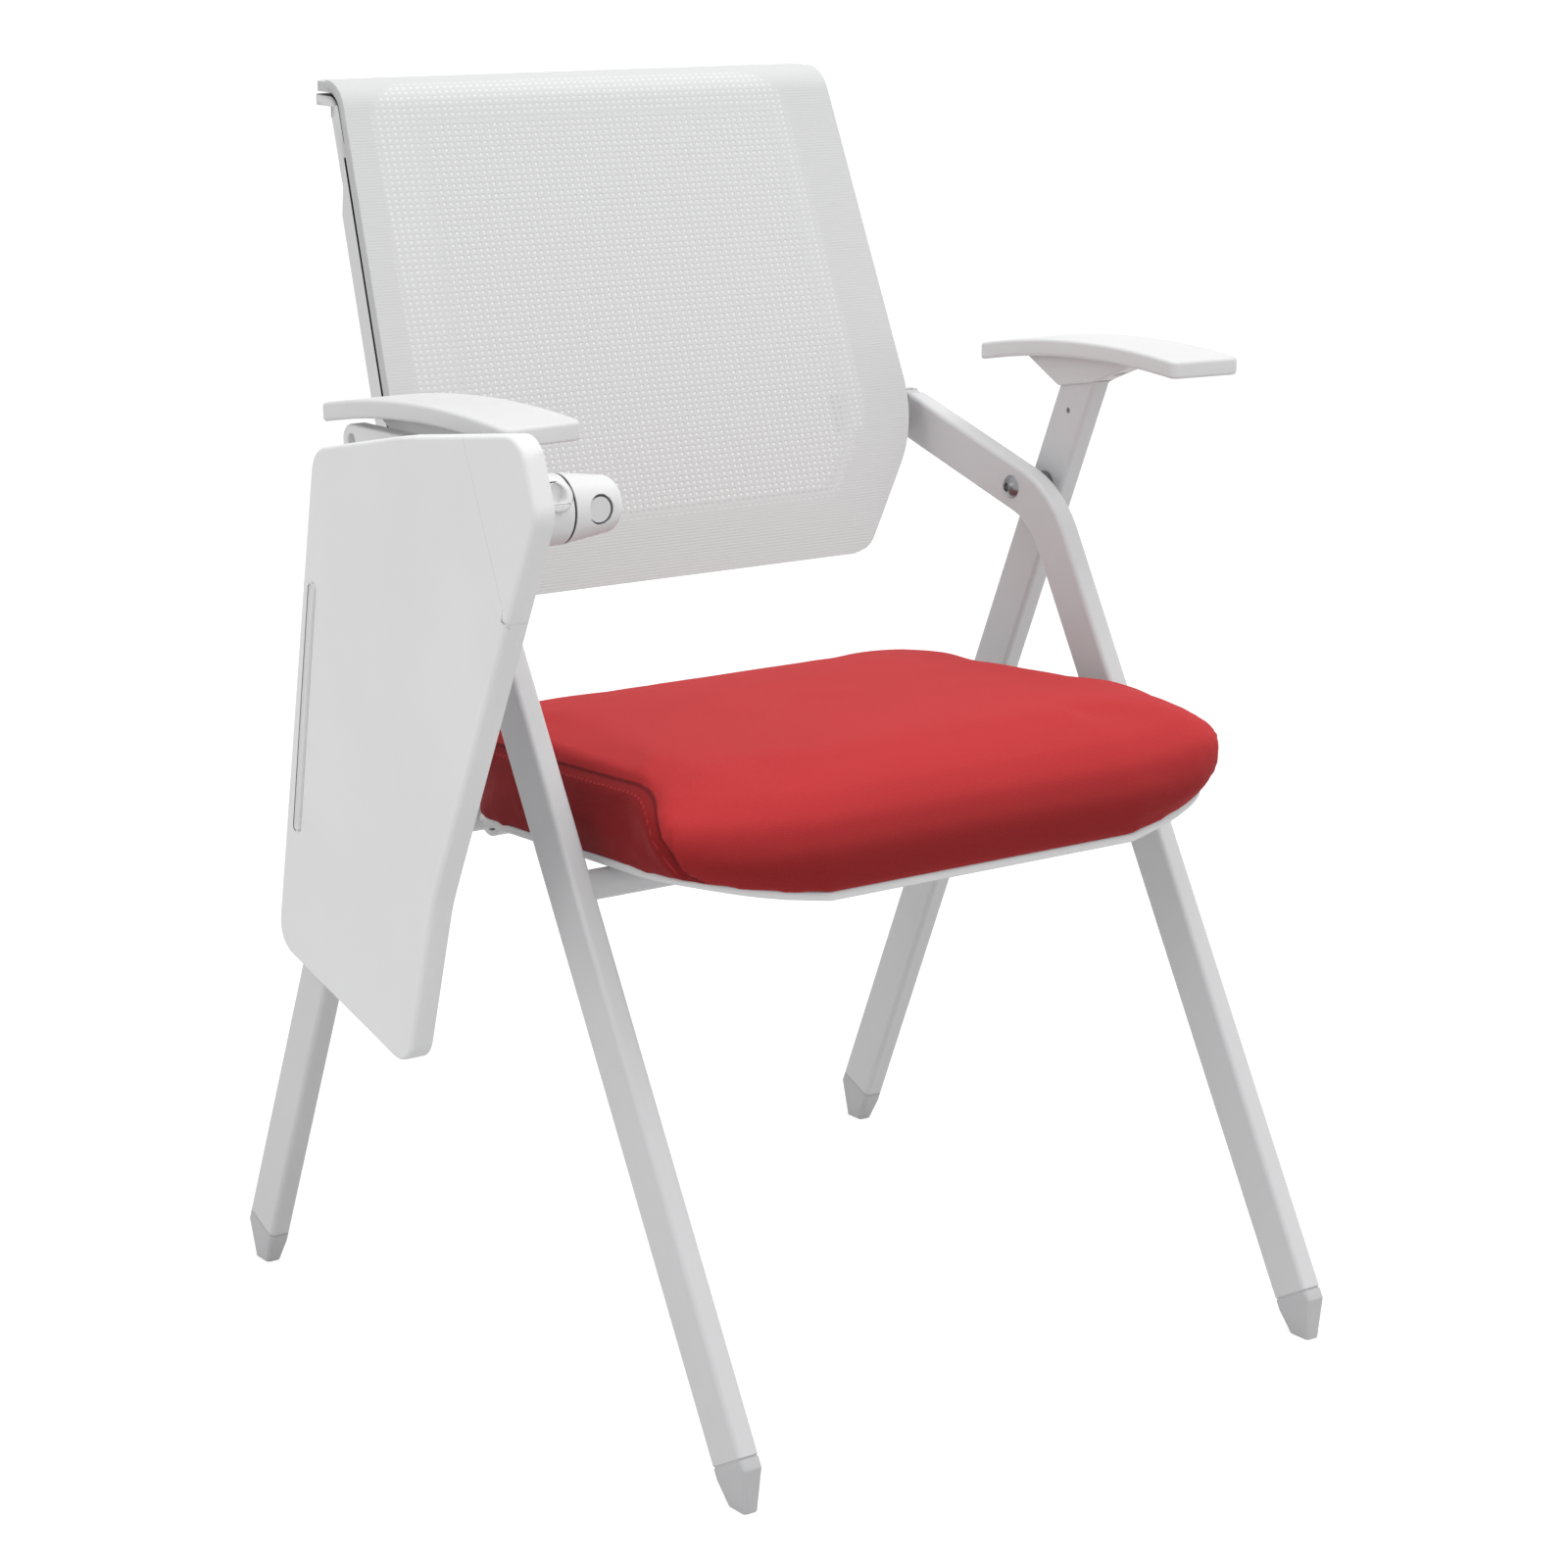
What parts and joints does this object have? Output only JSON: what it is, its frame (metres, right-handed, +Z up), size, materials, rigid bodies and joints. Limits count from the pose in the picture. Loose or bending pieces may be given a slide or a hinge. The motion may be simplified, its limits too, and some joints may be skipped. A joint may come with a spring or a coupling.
{
  "type": "folding conference chair",
  "caption": "Folding conference chair with a reclined mesh back, padded seat, armrests and a writing tablet that swings up and folds across the lap.",
  "frame": {"origin": "on the floor, midway between the chair's outermost points from side to side and from front to rear, tablet included", "axes": "+Z up, -Y towards the front of the chair, +X towards the sitter's left; the tablet hangs on the -X side"},
  "size_m": [0.647, 0.5902, 0.848],
  "materials": {
    "frame_paint": "satin light grey powder coat",
    "cast_paint": "painted light grey casting",
    "white_plastic": "fine satin, near white",
    "grey_plastic": "satin light grey",
    "mesh_fabric": "open knitted mesh, light grey",
    "steel": "zinc-plated, dull",
    "dark_plastic": "matte black",
    "dark_rubber": "matte black",
    "plywood": "plain plywood",
    "red_fabric": "woven red upholstery cloth"
  },
  "bodies": {
    "front_frame": {"front_tube_left": "frame_paint", "front_tube_right": "frame_paint", "front_cross_tube": "frame_paint", "front_foot_left": "grey_plastic", "front_foot_right": "grey_plastic", "back_lug_left": "grey_plastic", "back_lug_right": "grey_plastic", "back_rear_frame": "white_plastic", "back_mesh_frame": "grey_plastic", "back_mesh": "mesh_fabric", "back_screws": "steel", "pivot_bolts": "steel", "pivot_spacers": "steel", "pivot_nuts": "steel"},
    "rear_frame": {"rear_leg_left": "frame_paint", "rear_leg_right": "frame_paint", "rear_cross_tube": "frame_paint", "rear_foot_left": "grey_plastic", "rear_foot_right": "grey_plastic", "pivot_bushes": "dark_plastic", "hinge_sleeves": "dark_plastic", "arm_bracket_left": "white_plastic", "arm_bracket_right": "white_plastic", "arm_pad_left": "white_plastic", "arm_pad_right": "white_plastic", "arm_pad_screws": "steel", "bracket_screw": "steel", "tablet_arm": "cast_paint", "tablet_arm_screws": "steel", "flip_pin": "steel"},
    "seat": {"seat_pan": "white_plastic", "seat_board": "plywood", "seat_cushion": "red_fabric", "hinge_lugs": "white_plastic", "hinge_lug_screws": "steel", "seat_bumpers": "dark_rubber"},
    "flip_block": {"flip_block": "cast_paint", "flip_cap": "white_plastic", "swing_shaft": "steel", "swing_washer": "dark_plastic"},
    "tablet": {"swing_rotor": "cast_paint", "rotor_plate": "cast_paint", "swing_nut": "steel", "tablet_tray": "white_plastic", "tablet_cover": "grey_plastic", "tablet_screws": "steel"}
  },
  "joints": [
    {"name": "fold", "type": "hinge", "parent": "front_frame", "child": "rear_frame", "pos_m": [0.0205, 0.04018, 0.554], "axis": [-1, 0, 0], "range_deg": [0, 50]},
    {"name": "seat_tilt", "type": "hinge", "parent": "rear_frame", "child": "seat", "pos_m": [0.0205, 0.12826, 0.3485], "axis": [-1, 0, 0], "range_deg": [0, 30]},
    {"name": "tablet_flip", "type": "hinge", "parent": "rear_frame", "child": "flip_block", "pos_m": [-0.2405, -0.14838, 0.614], "axis": [0, 1, 0], "range_deg": [0, 90]},
    {"name": "tablet_swing", "type": "hinge", "parent": "flip_block", "child": "tablet", "pos_m": [-0.2605, -0.14838, 0.614], "axis": [-1, 0, 0], "range_deg": [0, 180]}
  ],
  "couplings": [
    {"joint": "seat_tilt", "follows": "fold", "ratio": 0.6}
  ]
}
